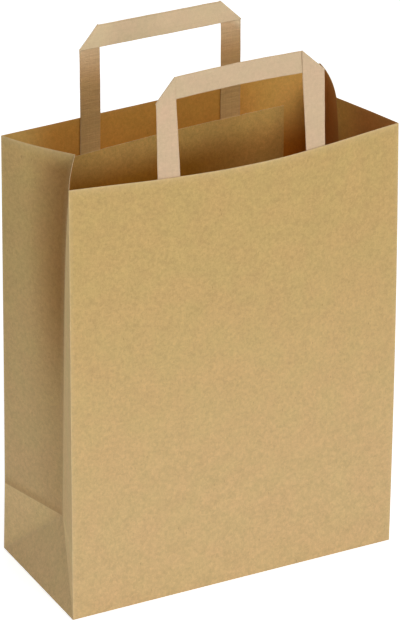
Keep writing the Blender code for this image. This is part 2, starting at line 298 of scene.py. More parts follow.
def smooth(t):
    """3 t squared less 2 t cubed, with t held between 0 and 1."""
    t = np.clip(t, 0.0, 1.0)
    return t * t * (3 - 2 * t)


def ripple(a, b, turn):
    """Five slanted waves added together, between about -1 and 1. a and b are places in metres."""
    total = 0.0
    for k, length in enumerate(RIPPLE_LENGTHS):
        angle = turn + RIPPLE_TURN * k
        along = a * math.cos(angle) + b * math.sin(angle)
        total = total + np.sin(2 * np.pi * along / length + RIPPLE_PHASE * k + turn)
    return total / RIPPLE_PEAK


def wall_share(v):
    """0 up to the bottom crease, and from there evenly up to 1 at the rim."""
    return np.maximum(0.0, (v - BOTTOM_CREASE) / (BAG_HEIGHT - BOTTOM_CREASE))


def push(gusset, v):
    """low + (high - low) share + flare share to the eighth, where share runs from the bottom crease to
    the rim."""
    share = wall_share(v)
    return gusset["low"] + (gusset["high"] - gusset["low"]) * share + gusset["flare"] * share**FLARE_POWER


def upright_edge(gusset, face, v):
    """The upright edge: a straight line from foot to rim, plus bow sin(pi share to a power) along X.
    Below the bottom crease the bow grows evenly with height. face is -1 at the front and 1 at the
    back."""
    k = (face + 1) // 2
    share = np.maximum(v, BOTTOM_CREASE) / BAG_HEIGHT
    bow = gusset["bow"][k] * np.sin(np.pi * share ** gusset["bow_power"][k])
    bow = bow * np.minimum(1.0, v / BOTTOM_CREASE)
    x = gusset["side"] * HALF_W + gusset["shift"][k] * v / BAG_HEIGHT + bow
    y = face * (HALF_D - gusset["draw"][k] * v / BAG_HEIGHT)
    return np.stack([x, y, FLOOR + v], -1)


def centre_crease(gusset, v):
    """The gusset's centre crease, from the tip of the bottom triangle up to the rim. The tip stands at
    the root of bottom crease squared less push squared, because the triangle's paper keeps its length."""
    tip = math.sqrt(BOTTOM_CREASE**2 - float(push(gusset, BOTTOM_CREASE)) ** 2)
    z = FLOOR + tip + (BAG_HEIGHT - tip) * wall_share(v)
    x = gusset["side"] * (HALF_W - push(gusset, v))
    return np.stack([x, gusset["lean"] * wall_share(v), z], -1)


def gusset_point(gusset, face, share, v):
    """Half a gusset, share 0 at the upright edge and 1 at the crease. Above the bottom crease it is the
    line between them plus (bulge + curl height cubed) sin(pi share) outwards, and slow ripples. Below it
    are two flat triangles that meet where share is v / bottom crease."""
    k = (face + 1) // 2
    s = share[..., None]
    edge = upright_edge(gusset, face, v)
    curl = gusset["curl"][k] * wall_share(v) ** CURL_POWER
    bulge = (gusset["bulge"][k] + curl) * np.sin(np.pi * share) * wall_share(v)
    slow = ripple(share * HALF_D, v, GUSSET_TURN * face + gusset["side"])
    wave = GUSSET_WAVE * slow * np.sin(np.pi * share)
    out = bulge + wave * smooth(wall_share(v) / GUSSET_WAVE_START)
    high = edge + (centre_crease(gusset, v) - edge) * s
    high = high + np.stack([gusset["side"] * out, face * out * push(gusset, v) / HALF_D, 0 * v], -1)
    level = (np.minimum(v, BOTTOM_CREASE) / BOTTOM_CREASE)[..., None]
    foot = upright_edge(gusset, face, 0 * v)
    shoulder = upright_edge(gusset, face, 0 * v + BOTTOM_CREASE)
    tip = centre_crease(gusset, 0 * v + BOTTOM_CREASE)
    middle = foot * np.array([1.0, 0.0, 1.0])
    outer = foot + (shoulder - foot) * level + (tip - shoulder) * s
    inner = foot + (middle - foot) * s + (tip - middle) * level
    low = np.where(s <= level, outer, inner)
    return np.where((v < BOTTOM_CREASE)[..., None], low, high)


def leg_swell(face, x, v):
    """How far the panel stands out over the two legs glued inside it: a rounded bump across each leg that
    fades below the rim and past the leg's end."""
    handle = FRONT if face < 0 else BACK
    swell = 0.0
    for side in (-1, 1):
        middle = handle["x"] + side * (HANDLE_WIDTH - TAPE_WIDTH) / 2
        swell = swell + smooth((SWELL_REACH - np.abs(x - middle)) / SWELL_SLOPE)
    below = BAG_HEIGHT - v
    swell = LEG_SWELL * swell * smooth(below / SWELL_TOP)
    return swell * smooth((LEG_TUCK + SWELL_PAST - below) / SWELL_FOOT)


def panel_point(face, share, v):
    """The front or back panel: straight from edge to edge, and on the front plus bow height squared times
    sin(pi share) to a power, out along Y. Slow ripples and the swell over the legs are added to both."""
    s = share[..., None]
    left = upright_edge(LEFT, face, v)
    point = left + (upright_edge(RIGHT, face, v) - left) * s
    across = np.sin(np.pi * np.clip(share, 0.0, 1.0))
    out = 0.0
    if face < 0:
        out = FRONT_BOW * (v / BAG_HEIGHT) ** BOW_RISE * across**BOW_POWER
    hold = np.sqrt(across) * smooth(v / PANEL_WAVE_START)
    slow = ripple(point[..., 0], v, PANEL_TURN + face)
    out = out + PANEL_WAVE * slow * hold + leg_swell(face, point[..., 0], v)
    point[..., 1] += face * out
    return point


def panel_y(face, x, z):
    """The outside of a panel at this x and height, level with the rim above it."""
    v = np.minimum(z - FLOOR, BAG_HEIGHT)
    left = upright_edge(LEFT, face, v)[..., 0]
    right = upright_edge(RIGHT, face, v)[..., 0]
    return panel_point(face, (x - left) / (right - left), v)[..., 1]


# Meshes


def cut_cells(corners, turned):
    """Two triangles for each cell of a grid, whose corners are a, b, d and e round the cell. A turned
    cell is cut from b to e, and the others from a to d."""
    a, b, d, e = corners
    first = np.where(turned[..., None], np.stack([a, b, e], -1), np.stack([a, b, d], -1))
    second = np.where(turned[..., None], np.stack([b, d, e], -1), np.stack([a, d, e], -1))
    return np.stack([first, second], 2).reshape(-1, 3)


def end_caps(rows, columns):
    """The quads that fill the first and the last row of a closed grid, each between two columns and the
    two opposite."""
    i = np.arange(columns // 2 - 1)
    first = np.stack([i, columns - 1 - i, columns - 2 - i, i + 1], -1)
    return np.concatenate([first, first[:, ::-1] + (rows - 1) * columns])


def grid_piece(name, points, uv, closed=False, turned=None):
    """A mesh over rows of points, two triangles to each cell, with the UV map sheet in metres. A closed
    grid joins its last column to its first, and its UV grid has a column more. turned marks the columns
    whose cells are cut the other way, and a closed grid without it is a tube that gets end caps."""
    rows, columns = points.shape[:2]
    wide = uv.shape[1]
    r, c = np.meshgrid(np.arange(rows - 1), np.arange(columns if closed else columns - 1), indexing="ij")
    n = (c + 1) % columns
    cut = np.broadcast_to(np.zeros(c.shape[1], bool) if turned is None else turned, c.shape)
    faces = cut_cells((r * columns + c, r * columns + n, (r + 1) * columns + n, (r + 1) * columns + c), cut)
    corners = cut_cells((r * wide + c, r * wide + c + 1, (r + 1) * wide + c + 1, (r + 1) * wide + c), cut)
    caps = end_caps(rows, columns) if closed and turned is None else np.zeros((0, 4), int)
    mesh = bpy.data.meshes.new(name)
    mesh.from_pydata(points.reshape(-1, 3).tolist(), [], faces.tolist() + caps.tolist())
    flat = np.concatenate([uv.reshape(-1, 2)[corners.ravel()], np.zeros((caps.size, 2))])
    mesh.uv_layers.new(name="sheet").data.foreach_set("uv", flat.astype(np.float32).ravel())
    mesh.shade_smooth()
    piece = bpy.data.objects.new(name, mesh)
    bpy.context.scene.collection.objects.link(piece)
    return piece


def thicken(piece, thickness, offset):
    """Makes the sheet a closed solid, grown inwards for an offset of -1 and both ways for 0."""
    solidify = piece.modifiers.new("thickness", "SOLIDIFY")
    solidify.thickness = thickness
    solidify.offset = offset
    solidify.use_even_offset = True
    solidify.material_offset = 1
    solidify.material_offset_rim = 2
    bpy.context.view_layer.update()
    graph = bpy.context.evaluated_depsgraph_get()
    mesh = bpy.data.meshes.new_from_object(piece.evaluated_get(graph))
    piece.modifiers.clear()
    old = piece.data
    piece.data = mesh
    bpy.data.meshes.remove(old)
    mesh.name = piece.name


def finish_piece(piece, papers, node=None, sharp=SHEET_SHARP, thickness=None, offset=-1):
    """Gives the piece its papers, its thickness if it is still a bare surface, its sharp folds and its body
   . The papers of a thickened sheet are those outside, inside and on the cut edges."""
    for paper in papers:
        piece.data.materials.append(paper)
    if thickness:
        thicken(piece, thickness, offset)
    piece.data.set_sharp_from_angle(angle=math.radians(sharp))
    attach(piece, "root")
    if node:
        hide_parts(node)


def bag_sheet():
    """The tube of paper: front panel, right gusset, back panel and left gusset, one column of points
    after another. The UV map is the flat sheet, with u round the bag from the front left edge and v up
    the paper."""
    low = BOTTOM_CREASE * np.arange(GUSSET_COLUMNS) / GUSSET_COLUMNS
    high = BOTTOM_CREASE + (BAG_HEIGHT - BOTTOM_CREASE) * np.arange(WALL_ROWS + 1) / WALL_ROWS
    levels = np.concatenate([low, high])
    panel = np.arange(PANEL_COLUMNS) / PANEL_COLUMNS
    half = np.arange(GUSSET_COLUMNS) / GUSSET_COLUMNS
    parts = []
    for wall, share in (
        (lambda s, v: panel_point(-1, s, v), panel),
        (lambda s, v: gusset_point(RIGHT, -1, s, v), half),
        (lambda s, v: gusset_point(RIGHT, 1, s, v), 1 - half),
        (lambda s, v: panel_point(1, s, v), 1 - panel),
        (lambda s, v: gusset_point(LEFT, 1, s, v), half),
        (lambda s, v: gusset_point(LEFT, -1, s, v), 1 - half),
    ):
        v, s = np.meshgrid(levels, share, indexing="ij")
        parts.append(wall(s, v))
    points = np.concatenate(parts, 1)
    spans = [(BAG_WIDTH, PANEL_COLUMNS), (BAG_DEPTH, 2 * GUSSET_COLUMNS)] * 2
    steps = np.concatenate([np.full(count, span / count) for span, count in spans])
    around = np.concatenate([[0.0], np.cumsum(steps)])
    uv = np.stack(np.meshgrid(around, levels), -1)
    # From a gusset's crease to its second edge, the slanted folds of the bottom run along the other diagonal.
    turned = np.zeros(points.shape[1], bool)
    for start in (PANEL_COLUMNS, 2 * PANEL_COLUMNS + 2 * GUSSET_COLUMNS):
        turned[start + GUSSET_COLUMNS:start + 2 * GUSSET_COLUMNS] = True
    return grid_piece("bag_sheet", points, uv, closed=True, turned=turned)


def bottom_layer(name, low_y, high_y, z, inset, folded):
    """A flat layer of the folded bottom between two depths. Its half width is the bag's less the inset,
    and a folded one also narrows by 45 degrees from its outer corners to the middle of the bottom."""
    t, s = np.meshgrid(np.linspace(0, 1, LAYER_ROWS), np.linspace(-1, 1, LAYER_COLUMNS), indexing="ij")
    y = low_y + (high_y - low_y) * t
    reach = HALF_W - inset
    if folded:
        outwards = -1 if abs(low_y) > abs(high_y) else 1
        waist = HALF_W - HALF_D - inset * math.sqrt(2)
        reach = np.minimum(waist + np.maximum(0.0, outwards * y), HALF_W - inset * (1 + math.sqrt(2)))
    x = s * reach
    points = np.stack([x, y, z + 0 * x], -1)
    uv = np.stack([x + HALF_W, y + HALF_D], -1)
    return grid_piece(name, points, uv)


def seam_strip():
    """The glued lap of the sheet: a strip on the back half of the right gusset, from the back edge
    inwards. It stands proud, and more so past a smooth step along its edge."""
    levels = np.linspace(0.0, BAG_HEIGHT, SEAM_ROWS)
    v, t = np.meshgrid(levels, np.linspace(0, 1, SEAM_COLUMNS), indexing="ij")
    share = SEAM_START + t * SEAM_WIDTH / HALF_D
    points = gusset_point(RIGHT, 1, share, v)
    points[..., 0] += SEAM_PROUD * (1 + smooth(t / SEAM_EDGE))
    uv = np.stack([BAG_WIDTH + BAG_DEPTH * (1 - share / 2), v], -1)
    return grid_piece("seam_strip", points[:, ::-1], uv[:, ::-1])


def leg_edges(handle):
    """Outer and inner x of the left leg, then inner and outer x of the right leg."""
    left = handle["x"] - HANDLE_WIDTH / 2
    right = handle["x"] + HANDLE_WIDTH / 2 + handle["reach"]
    return left, left + TAPE_WIDTH, right - TAPE_WIDTH, right


def tilted(handle, x, z):
    """The height less the tangent of the tilt times the distance from the handle's middle."""
    return z - math.tan(math.radians(handle["tilt"])) * (x - handle["x"])


def tape_y(handle, x, z):
    """The middle of the tape: on the panel up to the rim, and above it leaning by the lean while it turns
    smoothly from the panel's curve into the chord between the legs, bowed by 4 bow share (1 - share).
    Near the top it curls outwards by bar curl height squared."""
    face = handle["face"]
    inward = -face
    rest = inward * (PAPER + GAP + TAPE / 2)
    base = panel_y(face, x, z) + rest
    above = np.maximum(0.0, z - RIM)
    outer_left, inner_left, inner_right, outer_right = leg_edges(handle)
    left = (outer_left + inner_left) / 2
    right = (inner_right + outer_right) / 2
    share = (x - left) / (right - left)
    ends = panel_y(face, np.array([left, right]), np.array([RIM, RIM]))
    straight = ends[0] * (1 - share) + ends[1] * share + rest
    straight = straight + inward * 4 * handle["bar_bow"] * share * (1 - share)
    turn = smooth(above / (handle["rise"] - TAPE_WIDTH))
    lean = math.tan(math.radians(handle["lean"]))
    curled = np.maximum(0.0, 1 + (above - handle["rise"]) / CURL_HEIGHT)
    return base + turn * (straight - base) + inward * (above * lean - handle["bar_curl"] * curled**2)


def tape_rows(handle, across):
    """The lines across the tape, from the left leg's foot over both 45 degree folds to the right leg's
    foot. At a fold they go round half a cylinder, out by radius sin(turn) in the handle's plane. Gives x
    and z of the points, and the turn, the side and the distance along the tape of each line."""
    top = RIM + handle["rise"]
    foot = RIM - LEG_TUCK
    long = top - foot
    outer_left, inner_left, inner_right, outer_right = leg_edges(handle)
    climb = np.linspace(0, 1, LEG_ROWS)
    along = np.linspace(0, 1, BAR_ROWS)
    turn = np.linspace(0, np.pi, FOLD_ROWS + 2)[1:-1]
    left_x = outer_left + (inner_left - outer_left) * across
    right_x = outer_right + (inner_right - outer_right) * across
    bar_x = left_x + (right_x - left_x) * along[:, None]
    fold_line = top - TAPE_WIDTH * (1 - across)
    leg_z = foot + (fold_line - foot) * climb[:, None]
    reach = FOLD_RADIUS * np.sin(turn)[:, None] / math.sqrt(2)
    fold_z = fold_line + reach
    left_leg = left_x + 0 * leg_z
    right_leg = right_x + 0 * leg_z
    x = np.concatenate([left_leg, left_x - reach, bar_x, (right_x + reach)[::-1], right_leg])
    z = np.concatenate([leg_z, fold_z, fold_line + 0 * bar_x, fold_z[::-1], leg_z[::-1]])
    turns = np.concatenate([0 * climb, turn, np.pi + 0 * along, turn[::-1], 0 * climb])
    sides = np.where(np.arange(len(turns)) < LEG_ROWS + FOLD_ROWS + BAR_ROWS / 2, -1, 1)
    bar = long + HANDLE_WIDTH * along
    down = bar[-1] + long * climb
    distance = np.concatenate([long * climb, long + 0 * turn, bar, bar[-1] + 0 * turn, down])
    return x, z, turns[:, None], sides[:, None], distance[:, None]


def tape_handle(name, handle):
    """One strip of tape: leg, fold, bar, fold, leg. The layers at a fold lie radius (1 - cos(turn))
    apart. The closed section is the middle line plus and minus half the thickness, which is rounded off
    at both long edges by the root of 1 less the distance from the middle to the 60th power."""
    across = np.concatenate([TAPE_EDGE_STEPS, TAPE_MIDDLE_STEPS, 1 - TAPE_EDGE_STEPS[::-1]])
    half_thick = 0.5 * TAPE * np.sqrt(np.maximum(0.0, 1 - np.abs(2 * across - 1) ** TAPE_EDGE_POWER))
    half_thick[[0, -1]] = TAPE_EDGE
    x, z, turn, side, distance = tape_rows(handle, across)
    inward = -handle["face"]
    # The tape isn't perfectly flat: it waves a little above the rim.
    free = smooth((z - RIM - TAPE_WAVE_START) / TAPE_WAVE_RISE)
    short, long = TAPE_WAVE_LENGTHS
    wave = np.sin(2 * np.pi * distance / short + TAPE_WAVE_PHASE) * np.cos(2 * np.pi * distance / long)
    z = tilted(handle, x, z)
    y = tape_y(handle, x, z) + inward * (FOLD_RADIUS * (1 - np.cos(turn)) + TAPE_WAVE * free * wave)
    normal_x = np.sin(turn) * side / math.sqrt(2) + 0 * x
    normal_y = -inward * np.cos(turn) + 0 * x
    normal_z = np.sin(turn) / math.sqrt(2) + 0 * x
    shift = np.stack([normal_x, normal_y, normal_z], -1) * half_thick[None, :, None]
    middle = np.stack([x, y, z], -1)
    points = np.concatenate([middle + shift, (middle - shift)[:, ::-1]], 1)
    width = np.concatenate([across, 2 - across[::-1], [2.0]]) * TAPE_WIDTH
    uv = np.stack(np.broadcast_arrays(width[None, :], distance), -1)
    if handle["face"] > 0:
        points = points[:, ::-1]
        uv = uv[:, ::-1]
    return grid_piece(name, points, uv, closed=True)


def pocket(handle, x, z):
    """1 over a leg and 0 away from it. The slope between is the smooth curve 3 t squared less 2 t
    cubed."""
    legs = leg_edges(handle)
    cover = 0.0
    for low, high in (legs[:2], legs[2:]):
        inside = np.minimum(x - (low - POCKET_MARGIN), (high + POCKET_MARGIN) - x)
        cover = np.maximum(cover, smooth(1 + inside / POCKET_SIDE_SLOPE))
    above = z - (RIM - LEG_TUCK - POCKET_FOOT_MARGIN)
    return cover * smooth(1 + above / POCKET_FOOT_SLOPE)


def handle_patch(name, handle):
    """The strip glued over the legs: flat on the panel, raised over each leg by the tape and the gap.
    Lengthwise it is bent by arch (1 - (u / half length) squared)."""
    face = handle["face"]
    half = HANDLE_WIDTH / 2 + PATCH_MARGIN
    u, w = np.meshgrid(np.linspace(-half, half, PATCH_COLUMNS), np.linspace(0, PATCH_HEIGHT, PATCH_ROWS))
    x = handle["x"] + handle["shift"] + u
    slant = math.tan(math.radians(handle["patch_tilt"] + handle["tilt"]))
    bend = handle["arch"] * (1 - (u / half) ** 2) - handle["sag"]
    z = RIM - PATCH_DROP - PATCH_HEIGHT + w + slant * u + bend
    raised = (TAPE + GAP) * pocket(handle, x, z)
    edges = smooth(w / PUCKER_EDGE) * smooth((PATCH_HEIGHT - w) / PUCKER_EDGE)
    pucker = PUCKER * ripple(PUCKER_FINENESS * x, PUCKER_FINENESS * z, PUCKER_TURN) * edges
    height = tilted(handle, x, z)
    y = panel_y(face, x, height) - face * (PAPER + GAP + PAPER / 2 + raised + pucker)
    points = np.stack([x, y, height], -1)
    uv = np.stack([u + half, w], -1)
    if face < 0:
        points = points[:, ::-1]
        uv = uv[:, ::-1]
    return grid_piece(name, points, uv)


# Materials


def rgb(code):
    """A colour code of six hexadecimal digits as linear red, green, blue and 1."""
    values = [int(code[i:i + 2], 16) / 255 for i in (0, 2, 4)]
    return tuple([v / 12.92 if v <= 0.04045 else ((v + 0.055) / 1.055) ** 2.4 for v in values] + [1.0])


class Nodes:
    """A short way to add nodes to a tree and to link them. A value can be a number, a colour or a
    socket."""

    def __init__(self, tree):
        self.tree = tree

    def add(self, kind, **settings):
        node = self.tree.nodes.new(kind)
        for key, value in settings.items():
            setattr(node, key, value)
        return node

    def put(self, socket, value):
        if isinstance(value, bpy.types.NodeSocket):
            self.tree.links.new(value, socket)
        else:
            socket.default_value = value

    def math(self, operation, first, *others):
        """Applies the operation to the first value and the second, then to the result and the next."""
        for other in others or (0.0,):
            node = self.add("ShaderNodeMath", operation=operation)
            self.put(node.inputs[0], first)
            self.put(node.inputs[1], other)
            first = node.outputs[0]
        return first

    def plus(self, *values):
        return self.math("ADD", *values)

    def minus(self, a, b):
        return self.math("SUBTRACT", a, b)

    def times(self, *values):
        return self.math("MULTIPLY", *values)

    def least(self, *values):
        return self.math("MINIMUM", *values)

    def most(self, *values):
        return self.math("MAXIMUM", *values)

    def less(self, a, b):
        return self.math("LESS_THAN", a, b)

    def apart(self, a, b):
        """How far a and b lie apart."""
        return self.math("ABSOLUTE", self.minus(a, b))

    def noise(self, vector, scale, detail=2.0, rough=0.5, distortion=0.0):
        node = self.add("ShaderNodeTexNoise")
        self.put(node.inputs["Vector"], vector)
        node.inputs["Scale"].default_value = scale
        node.inputs["Detail"].default_value = detail
        node.inputs["Roughness"].default_value = rough
        node.inputs["Distortion"].default_value = distortion
        return node.outputs["Fac"]

    def remap(self, value, low, high, to_low=0.0, to_high=1.0, kind="LINEAR"):
        """Takes the value from between low and high to between to_low and to_high."""
        node = self.add("ShaderNodeMapRange", interpolation_type=kind)
        names = ("Value", "From Min", "From Max", "To Min", "To Max")
        for name, given in zip(names, (value, low, high, to_low, to_high)):
            self.put(node.inputs[name], given)
        return node.outputs["Result"]

    def soft(self, value, low, high, to_low=0.0, to_high=1.0):
        """The same with a smooth start and end."""
        return self.remap(value, low, high, to_low, to_high, "SMOOTHSTEP")

    def mix(self, factor, a, b, blend="MIX"):
        node = self.add("ShaderNodeMix", data_type="RGBA", blend_type=blend)
        self.put(node.inputs["Factor"], factor)
        self.put(node.inputs["A"], a)
        self.put(node.inputs["B"], b)
        return node.outputs["Result"]

    def tone(self, colour, strength):
        """The colour times a number."""
        node = self.add("ShaderNodeVectorMath", operation="SCALE")
        self.put(node.inputs[0], colour)
        self.put(node.inputs["Scale"], strength)
        return node.outputs[0]

    def mapping(self, vector, rotation, scale=(1, 1, 1)):
        node = self.add("ShaderNodeMapping")
        self.put(node.inputs["Vector"], vector)
        node.inputs["Rotation"].default_value = rotation
        node.inputs["Scale"].default_value = scale
        return node.outputs["Vector"]

    def place(self):
        """Object coordinates."""
        return self.add("ShaderNodeTexCoord").outputs["Object"]

    def sheet(self):
        """The place on the flat sheet or strip, from the piece's own UV map."""
        return self.add("ShaderNodeUVMap", uv_map="sheet").outputs["UV"]

    def split(self, vector):
        node = self.add("ShaderNodeSeparateXYZ")
        self.put(node.inputs[0], vector)
        return node.outputs


def new_group(name, inputs, outputs):
    """A shader node group with these sockets, given as (name, kind, default)."""
    group = bpy.data.node_groups.new(name, "ShaderNodeTree")
    for label, kind, default in inputs:
        socket = group.interface.new_socket(name=label, in_out="INPUT", socket_type="NodeSocket" + kind)
        if default is not None:
            socket.default_value = default
    for label, kind in outputs:
        group.interface.new_socket(name=label, in_out="OUTPUT", socket_type="NodeSocket" + kind)
    nodes = Nodes(group)
    return group, nodes, nodes.add("NodeGroupInput").outputs, nodes.add("NodeGroupOutput").inputs


def fibre_group():
    """Kraft paper seen close: cloudy mottle, fine speckle, fibres lying in three directions, a few dark
    shives, and a slight drift of hue between pinkish and greenish clouds."""
    group, n, given, out = new_group(
        "kraft_fibres",
        [("Color", "Color", (0.5, 0.4, 0.2, 1.0)), ("Amount", "Float", 1.0), ("Shives", "Float", 1.0)],
        [("Color", "Color"), ("Height", "Float")],
    )
    place = n.place()
    noises = [n.noise(place, *grain[:4]) for grain in (CLOUD, MOTTLE, SPECK)]
    cloud, mottle, speck = [n.remap(noise, *GRAIN_RANGE, -1.0, 1.0) for noise in noises]
    lying = [n.mapping(place, turn, STRAND_STRETCH) for turn in STRAND_TURNS]
    fibres = n.most(*[n.remap(n.noise(way, *STRAND[:4]), *STRAND_BAND) for way in lying])
    shares = ((cloud, CLOUD[4]), (mottle, MOTTLE[4]), (speck, SPECK[4]), (fibres, STRAND[4]))
    tones = [n.times(*share) for share in shares]
    toned = n.tone(given["Color"], n.plus(1.0, n.times(n.plus(*tones), given["Amount"])))
    shive = n.add("ShaderNodeTexVoronoi", feature="F1")
    n.put(shive.inputs["Vector"], n.mapping(place, SHIVE_TURN, SHIVE_STRETCH))
    shive.inputs["Scale"].default_value = 1.0
    dark = n.remap(shive.outputs["Distance"], *SHIVE_BAND, 1.0, 0.0)
    speckled = n.mix(n.times(dark, SHIVE_STRENGTH, given["Shives"]), toned, rgb(SHIVE_COLOUR))
    drift = n.remap(n.noise(n.mapping(place, DRIFT_TURN), DRIFT_SCALE), *DRIFT_RANGE)
    pinkish = n.mix(1.0, speckled, PINKISH, "MULTIPLY")
    greenish = n.mix(1.0, speckled, GREENISH, "MULTIPLY")
    n.put(out["Color"], n.mix(drift, pinkish, greenish))
    reliefs = ((fibres, STRAND_RELIEF), (speck, SPECK_RELIEF), (mottle, MOTTLE_RELIEF))
    n.put(out["Height"], n.plus(*[n.times(*relief) for relief in reliefs]))
    return group


def fold_group():
    """Where the sheet is folded, read from the flat sheet's own measures. Line and Broad are bands along the
    upright edges, the gusset creases, the bottom's folds and the rim. Valley is the painted shade in the
    hollow behind each gusset crease and just above the bottom crease. Flap is the two outer triangles below
    it, and more weakly the gussets' front halves above the slanted folds, which take the flap colour; outside
    this is painted light. Corner is the gussets, but for a band beside the crease on their front halves,
    where the inside takes the shade colour as painted shade."""
    group, n, given, out = new_group(
        "sheet_folds",
        [("Sheet", "Vector", None), ("Width", "Float", 0.0012)],
        [("Line", "Float"), ("Broad", "Float"), ("Valley", "Float"), ("Flap", "Float"), ("Corner", "Float")],
    )
    u, v = n.split(given["Sheet"])[:2]
    half_round = BAG_WIDTH + BAG_DEPTH
    # The distance along the paper from the nearest gusset's centre crease.
    off = n.math("PINGPONG", n.minus(u, BAG_WIDTH + HALF_D), half_round / 2)
    gusset = n.less(off, HALF_D)
    below = n.less(v, BOTTOM_CREASE)
    edge = n.apart(off, HALF_D)
    crease = n.plus(off, below)
    # The bottom triangle's slanted folds run from the feet of the edges to the crease's lower end.
    rise = n.times(n.minus(HALF_D, off), BOTTOM_CREASE / HALF_D)
    slant = n.plus(n.times(n.apart(v, rise), math.sqrt(0.5)), n.minus(1.0, gusset))
    # The level crease goes across both gussets and the back panel, where the bottom was folded over.
    back = n.apart(u, 1.5 * BAG_WIDTH + BAG_DEPTH)
    on_back = n.less(back, BAG_WIDTH / 2)
    level = n.plus(n.apart(v, BOTTOM_CREASE), n.minus(1.0, n.most(gusset, on_back)))
    rim = n.minus(BAG_HEIGHT, v)
    bottom = n.plus(n.least(slant, level), BOTTOM_WORN_LESS)
    near = n.least(edge, crease, bottom, n.times(rim, RIM_WORN_MORE))
    n.put(out["Line"], n.soft(near, 0.0, given["Width"], 1.0, 0.0))
    n.put(out["Broad"], n.soft(near, 0.0, n.times(given["Width"], BROAD_WIDER), 1.0, 0.0))
    behind = n.less(back, half_round / 2)
    # Valley: painted shade behind the gusset creases and just above the bottom crease.
    hollow = n.soft(off, 0.0, VALLEY_WIDTH, 1.0, 0.0)
    rising = n.soft(v, VALLEY_START, VALLEY_FULL, VALLEY_FOOT, 1.0)
    fading = n.soft(rim, 0.0, VALLEY_FADE, VALLEY_TOP, 1.0)
    tuck = n.soft(v, BOTTOM_CREASE, BOTTOM_CREASE + TUCK_HEIGHT, TUCK_SHADE, 0.0)
    hollow = n.most(n.times(hollow, behind, rising, fading), n.times(tuck, gusset, behind))
    n.put(out["Valley"], n.times(hollow, n.minus(1.0, below)))
    # Flap: the outside's painted light on the bottom's outer triangles and the gussets' front halves.
    outer = n.times(n.soft(n.minus(v, rise), *FLAP_BLUR), n.remap(v, 0.0, BOTTOM_CREASE, FLAP_FOOT, 1.0))
    before = n.times(gusset, n.minus(1.0, behind), FRONT_HALF_PALE, n.math("GREATER_THAN", v, rise))
    n.put(out["Flap"], n.most(n.times(outer, gusset, below), before))
    # Corner: where the inside is painted in the shade colour, painted shade on the gussets.
    n.put(out["Corner"], n.times(n.most(behind, n.soft(off, *CORNER_BAND)), gusset))
    return group


def wear_group():
    """Paper that is rubbed paler along a mask, broken up by fine noise."""
    group, n, given, out = new_group(
        "fold_wear",
        [
            ("Color", "Color", (0.5, 0.4, 0.2, 1.0)),
            ("Worn", "Color", (0.6, 0.5, 0.3, 1.0)),
            ("Mask", "Float", 0.0),
            ("Amount", "Float", 0.5),
        ],
        [("Color", "Color")],
    )
    broken = n.remap(n.noise(n.place(), *WEAR_GRAIN), *WEAR_RANGE)
    factor = n.times(given["Mask"], given["Amount"], broken)
    n.put(out["Color"], n.mix(factor, given["Color"], given["Worn"]))
    return group


FIBRES = fibre_group()
FOLDS = fold_group()
WEAR = wear_group()


def use(n, group, **values):
    """Places a group with these values."""
    node = n.add("ShaderNodeGroup", node_tree=group)
    for name, value in values.items():
        n.put(node.inputs[name], value)
    return node.outputs


def start_material(name, roughness, shine):
    """A material with its own roughness and gloss on the shader, its nodes and its shader."""
    material = bpy.data.materials.new(name)
    material.use_nodes = True
    shader = material.node_tree.nodes["Principled BSDF"]
    shader.inputs["Roughness"].default_value = roughness
    shader.inputs["Specular IOR Level"].default_value = shine
    return material, Nodes(material.node_tree), shader


def emboss(n, shader, height, strength):
    """Raises the surface by a height map."""
    bump = n.add("ShaderNodeBump")
    bump.inputs["Strength"].default_value = strength
    bump.inputs["Distance"].default_value = BUMP_DEPTH
    n.put(bump.inputs["Height"], height)
    n.put(shader.inputs["Normal"], bump.outputs["Normal"])


def sheet_paper(name, colour, worn, shade, flap, amount, wear, shine, shade_mask="Valley"):
    """Kraft paper on one side of the folded sheet, with its folds rubbed paler, the bottom's triangles in the
    flap's colour, which outside is painted light, and the mask's part in the shade's colour, which is painted
    shade."""
    material, n, shader = start_material(name, SHEET_ROUGHNESS, shine)
    folds = use(n, FOLDS, Sheet=n.sheet(), Width=WORN_WIDTH)
    paler = n.mix(folds["Flap"], colour(n), rgb(flap))
    shaded = n.mix(folds[shade_mask], paler, rgb(shade))
    fibres = use(n, FIBRES, Color=shaded, Amount=amount)
    rubbed = use(n, WEAR, Color=fibres["Color"], Worn=rgb(worn), Mask=folds["Line"], Amount=wear)
    weaker = wear * BROAD_WEAKER
    softened = use(n, WEAR, Color=rubbed["Color"], Worn=rgb(worn), Mask=folds["Broad"], Amount=weaker)
    n.put(shader.inputs["Base Color"], softened["Color"])
    emboss(n, shader, n.minus(fibres["Height"], n.times(folds["Line"], FOLD_RELIEF)), FOLDED_BUMP)
    return material


def plain_paper(name, colour, amount, shine=SHINE):
    """Kraft paper without folds, for layers, patches and cut edges."""
    material, n, shader = start_material(name, PLAIN_ROUGHNESS, shine)
    fibres = use(n, FIBRES, Color=colour(n), Amount=amount)
    n.put(shader.inputs["Base Color"], fibres["Color"])
    emboss(n, shader, fibres["Height"], PLAIN_BUMP)
    return material


